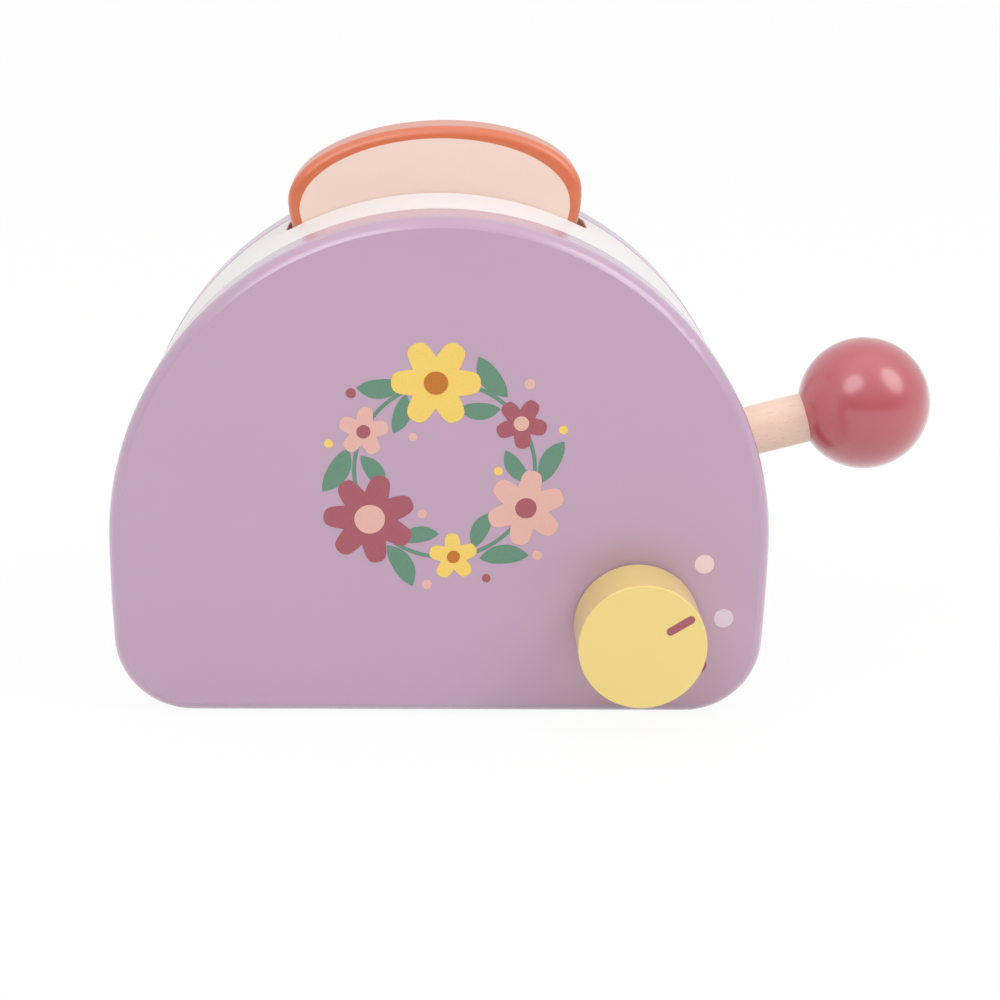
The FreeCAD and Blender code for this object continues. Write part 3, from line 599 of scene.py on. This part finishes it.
# dial marks beside the knob, true rounds
dialMarks = [
    {"x": 80.0, "z": 48.7, "radius": 3.1, "ink": "blush"},
    {"x": 86.6, "z": 31.4, "radius": 3.1, "ink": "mist"},
    {"x": 79.2, "z": 16.3, "radius": 2.9, "ink": "maroon"},
]
for number, mark in enumerate(dialMarks, 1):
    spot = layInk(makeSpot(mark["radius"], squeeze=1.0), mark["x"], mark["z"], 0, pulls["spot"])
    piece = joinInk([spot], "dialMark" + str(number), mark["ink"])
    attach(piece, "housing")
for ink, shapes in inkShapes.items():
    if shapes:
        piece = joinInk(shapes, "wreath" + ink.capitalize() + "Print", ink)
        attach(piece, "housing")
print("prints: wreath and dial marks laid on the front board")

# the knob's pointer: paint in the groove across its face
pointer = {"angle": 32.0, "inner": 9.5, "outer": 16.4, "width": 2.46, "corners": 32,
           "below": 0.04, "depth": 0.25, "bevel": 0.06, "bevelSteps": 2}


def makePointer():
    knobLow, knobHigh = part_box("knob")
    bar = flatCircle("knobPointer", pointer["corners"], pointer["width"] / 2)
    pick(bar, lambda v: v.co.x > -hair * mm)
    bpy.ops.transform.translate(value=((pointer["outer"] - pointer["inner"]) * mm, 0, 0))
    pick(bar, lambda v: True)
    bpy.ops.transform.translate(value=(pointer["inner"] * mm, 0, 0))
    bpy.ops.object.mode_set(mode="OBJECT")
    bar.rotation_euler = (0, -math.radians(pointer["angle"]), 0)
    bar.location = ((knobLow.x + knobHigh.x) / 2, knobLow.y + pointer["depth"] * mm,
                    (knobLow.z + knobHigh.z) / 2)
    bakePlace(bar)
    applyModifier(bar, "SOLIDIFY", offset=1.0, thickness=(pointer["depth"] - pointer["below"]) * mm)
    applyModifier(bar, "BEVEL", width=pointer["bevel"] * mm, segments=pointer["bevelSteps"],
                  limit_method="ANGLE")
    bar.data.materials.append(finishes["maroonInk"])
    return bar


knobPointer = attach(makePointer(), "knob")
print("pointer: painted bar in the knob's groove")

# the pale crumb printed on both faces of the toast: the flat face drawn in by a rim, and under
# a dome that sits a little lower than the crust's
crumb = {"rim": 0.3, "thickness": 0.07, "sunk": 0.02, "weld": 0.001, "flatTo": 0.01}
dome = {"x": -2.25, "z": 148.48, "half": 42.33, "rise": 21.32, "lean": 2.66, "drop": 90.0,
        "corners": 128, "block": 2.0}


def makeDomeBlock(faceY):
    block = flatCircle("crumbDome", dome["corners"], 1.0)
    pick(block, lambda v: True)
    bpy.ops.transform.resize(value=(dome["half"], 1, dome["rise"]), center_override=(0, 0, 0))
    pick(block, lambda v: v.co.z < -hair * mm)
    bpy.ops.transform.translate(value=(0, 0, -dome["drop"] * mm))
    bpy.ops.object.mode_set(mode="OBJECT")
    block.rotation_euler = (0, -math.radians(dome["lean"]), 0)
    block.location = (dome["x"] * mm, faceY + dome["block"] / 2 * mm, dome["z"] * mm)
    bakePlace(block)
    applyModifier(block, "SOLIDIFY", offset=1.0, thickness=dome["block"] * mm)
    return block


# side is -1 for the front face and 1 for the back
def makeCrumb(name, side):
    toast = nodes["toast_slice"]
    piece = toast.copy()
    piece.data = toast.data.copy()
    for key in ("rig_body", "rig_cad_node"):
        del piece[key]
    piece.parent = None
    bpy.context.scene.collection.objects.link(piece)
    piece.name = name
    piece.data.name = name
    onlySelect(piece)
    low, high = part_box("toast_slice")
    faceY = low.y if side < 0 else high.y
    pick(piece, lambda v: True)
    bpy.ops.mesh.customdata_custom_splitnormals_clear()
    bpy.ops.mesh.remove_doubles(threshold=crumb["weld"] * mm)
    pick(piece, lambda f: abs(f.center.y - faceY) > crumb["weld"] * mm, "polygons")
    bpy.ops.mesh.delete(type="FACE")
    pick(piece, lambda f: True, "polygons")
    bpy.ops.mesh.dissolve_limited(angle_limit=math.radians(crumb["flatTo"]))
    pick(piece, lambda f: True, "polygons")
    bpy.ops.mesh.inset(thickness=crumb["rim"] * mm, depth=0)
    bpy.ops.mesh.select_all(action="INVERT")
    bpy.ops.mesh.delete(type="FACE")
    pick(piece, lambda v: True)
    bpy.ops.transform.translate(value=(0, -side * crumb["sunk"] * mm, 0))
    bpy.ops.object.mode_set(mode="OBJECT")
    applyModifier(piece, "SOLIDIFY", offset=1.0, thickness=(crumb["sunk"] + crumb["thickness"]) * mm)
    block = makeDomeBlock(faceY)
    applyModifier(piece, "BOOLEAN", operation="INTERSECT", object=block, solver="EXACT")
    bpy.data.objects.remove(block)
    piece.data.materials.clear()
    piece.data.materials.append(finishes["crumbInk"])
    return piece


for name, side in (("toastCrumbFront", -1), ("toastCrumbBack", 1)):
    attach(makeCrumb(name, side), "toast")
print("toast: crumb printed on both faces")

# the return spring: round wire with closed ends, its top coil lying along the tilted lever.
# wire is the wire's radius, closed the turns at each end that lie shut, pressed its height when
# the lever is down
spring = {"wire": 0.6, "turns": 7, "closed": 0.9, "steps": 28, "roundness": 3, "topGap": 0.15,
          "leanCurve": 3, "pressed": 0.35}


def makeSpring():
    low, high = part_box("return_spring")
    foot = Vector(((low.x + high.x) / 2, (low.y + high.y) / 2, low.z))
    wireRadius = spring["wire"] * mm
    coilRadius = (high.x - low.x) / 2 - wireRadius
    slope = math.tan(math.radians(leverTilt))
    leverJoint = next(joint for joint in frame["joints"] if joint["name"] == "lever_press")
    pivot = Vector(leverJoint["pos_m"])
    rodRadius = (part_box("lever_rod")[1].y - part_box("lever_rod")[0].y) / 2
    under = pivot.z + (foot.x - pivot.x) * slope - rodRadius / math.cos(math.radians(leverTilt))
    bottom = foot.z + wireRadius
    rise = under - wireRadius - spring["topGap"] * mm - bottom
    closed, turns = spring["closed"], spring["turns"]
    closedRise = 2 * wireRadius * closed
    points = []
    for step in range(turns * spring["steps"] + 1):
        turn = step / spring["steps"]
        if turn < closed:
            height = closedRise * turn / closed
        elif turn > turns - closed:
            height = rise - closedRise * (turns - turn) / closed
        else:
            share = (turn - closed) / (turns - 2 * closed)
            height = closedRise + (rise - 2 * closedRise) * share
        x = coilRadius * math.cos(turn * 2 * math.pi)
        y = coilRadius * math.sin(turn * 2 * math.pi)
        lean = x * slope * (height / rise) ** spring["leanCurve"]
        points.append((foot.x + x, foot.y + y, bottom + height + lean))
    path = bpy.data.curves.new("returnSpringCoil", "CURVE")
    path.dimensions = "3D"
    path.bevel_depth = wireRadius
    path.bevel_resolution = spring["roundness"]
    path.use_fill_caps = True
    line = path.splines.new("POLY")
    line.points.add(len(points) - 1)
    for point, place in zip(line.points, points):
        point.co = (*place, 1)
    coil = bpy.data.objects.new("returnSpringCoil", path)
    bpy.context.scene.collection.objects.link(coil)
    onlySelect(coil)
    bpy.ops.object.convert(target="MESH")
    coil = bpy.context.object
    bpy.ops.object.shade_smooth()
    coil.data.materials.clear()
    coil.data.materials.append(finishes["steel"])
    return coil, foot


springCoil, springFoot = makeSpring()
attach(springCoil, "housing")
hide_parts("return_spring")
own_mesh(springCoil)
print("spring: wound between its pocket and the lever")

# plain pale floor, in metres but for its gap: white to the lens, and it keeps the object's shadow.
# It lies a hair under the toy, so that the underside doesn't flicker from below
floorLook = {"colour": "#F2F0EF", "size": 8.0, "gapMm": 0.05, "roughness": 0.9, "whiteShare": 0.94}


def makeFloor():
    bpy.ops.object.select_all(action="DESELECT")
    bpy.ops.mesh.primitive_plane_add(size=floorLook["size"], location=(0, 0, -floorLook["gapMm"] * mm))
    floor = bpy.context.object
    floor.name = "studioFloor"
    finish, tree, shader = newFinish("paleFloorPaper")[:3]
    shader.inputs["Base Color"].default_value = toLinear(floorLook["colour"])
    shader.inputs["Roughness"].default_value = floorLook["roughness"]
    shader.inputs["Specular IOR Level"].default_value = 0.0
    white = addNode(tree, "Emission", {"Color": (1, 1, 1, 1), "Strength": 1.0})
    rays = addNode(tree, "LightPath")
    seen = addNode(tree, "Math", {"operation": "MAXIMUM"},
                   {0: (rays, "Is Camera Ray"), 1: (rays, "Is Glossy Ray")})
    share = addNode(tree, "Math", {"operation": "MULTIPLY", 1: floorLook["whiteShare"]},
                    {0: (seen, "Value")})
    mixed = addNode(tree, "MixShader", None,
                    {0: (share, "Value"), 1: (shader, "BSDF"), 2: (white, "Emission")})
    wire(tree, mixed, "Shader", tree.nodes["Material Output"], "Surface")
    floor.data.materials.append(finish)


# a room that is dim towards the front, with a lit white backdrop behind and a bright ceiling that
# leans to the front; white to the lens
sky = {"front": 0.08, "back": 0.80, "frontTo": -0.95, "backFrom": 0.0,
       "ceiling": 0.60, "ceilingFrom": 0.5, "ceilingTowards": (0.0, -0.5, 0.866), "toLens": 1.0}


def makeSky():
    world = bpy.data.worlds.new("studioSky")
    bpy.context.scene.world = world
    world.use_nodes = True
    tree = world.node_tree
    tree.nodes.clear()
    rayPlace = addNode(tree, "TexCoord")
    towards = addNode(tree, "SeparateXYZ", None, {"Vector": (rayPlace, "Generated")})
    room = addNode(tree, "MapRange", {"interpolation_type": "SMOOTHSTEP", "From Min": sky["frontTo"],
                                      "From Max": sky["backFrom"], "To Min": sky["front"],
                                      "To Max": sky["back"]},
                   {"Value": (towards, "Y")})
    upward = addNode(tree, "VectorMath", {"operation": "DOT_PRODUCT", 1: sky["ceilingTowards"]},
                     {0: (rayPlace, "Generated")})
    ceiling = addNode(tree, "MapRange", {"interpolation_type": "SMOOTHSTEP",
                                         "From Min": sky["ceilingFrom"], "To Max": sky["ceiling"]},
                      {"Value": (upward, "Value")})
    lit = addNode(tree, "Math", {"operation": "ADD"}, {0: (room, "Result"), 1: (ceiling, "Result")})
    rays = addNode(tree, "LightPath")
    strength = addNode(tree, "Mix", {"data_type": "FLOAT", mixNumberB: sky["toLens"]},
                       {mixFactor: (rays, "Is Camera Ray"), mixNumberA: (lit, "Value")})
    light = addNode(tree, "Background", {"Color": (1, 1, 1, 1)}, {"Strength": (strength, mixNumberOut)})
    out = addNode(tree, "OutputWorld")
    wire(tree, light, "Background", out, "Surface")


# two oval softboxes high in front, sizes in metres: a broad one on the left, rolled on its side,
# and a tall one on the right
softboxes = [
    {"name": "softboxLeft", "towards": (-0.404, -0.588, 0.701), "reach": 2.4, "roll": 58.0,
     "size": (1.6, 1.25), "watts": 14.5},
    {"name": "softboxRight", "towards": (0.652, -0.370, 0.662), "reach": 2.4, "roll": 0.0,
     "size": (1.3, 1.75), "watts": 17.0},
]
softboxAim = (0, 0, 80)  # mm, the middle of the toy


def makeLamps():
    aim = Vector(softboxAim) * mm
    for box in softboxes:
        away = Vector(box["towards"]).normalized()
        bpy.ops.object.light_add(type="AREA", location=aim + away * box["reach"])
        lamp = bpy.context.object
        lamp.name = box["name"]
        roll = Matrix.Rotation(math.radians(box["roll"]), 3, "Z")
        lamp.rotation_euler = (away.to_track_quat("Z", "Y").to_matrix() @ roll).to_euler()
        lamp.data.shape = "ELLIPSE"
        lamp.data.size, lamp.data.size_y = box["size"]
        lamp.data.energy = box["watts"]


# long lens from a little above, turned slightly to the right; places in mm, turns in degrees
lens = {"place": (-6.43, -693.02, 250.77), "down": 15.779, "right": 2.140, "roll": 0.952,
        "focal": 80.46, "sensor": 36.0, "nearest": 10.0}


def makeCamera():
    turn = (Matrix.Rotation(-math.radians(lens["right"]), 3, "Z")
            @ Matrix.Rotation(math.radians(90 - lens["down"]), 3, "X")
            @ Matrix.Rotation(math.radians(lens["roll"]), 3, "Z"))
    bpy.ops.object.camera_add(location=Vector(lens["place"]) * mm, rotation=turn.to_euler())
    camera = bpy.context.object
    camera.data.lens = lens["focal"]
    camera.data.sensor_width = lens["sensor"]
    camera.data.clip_start = lens["nearest"] * mm
    bpy.context.scene.camera = camera


makeFloor()
makeSky()
makeLamps()
makeCamera()
bpy.context.scene.view_settings.view_transform = "Standard"
print("stage: floor, sky, lamps and camera")
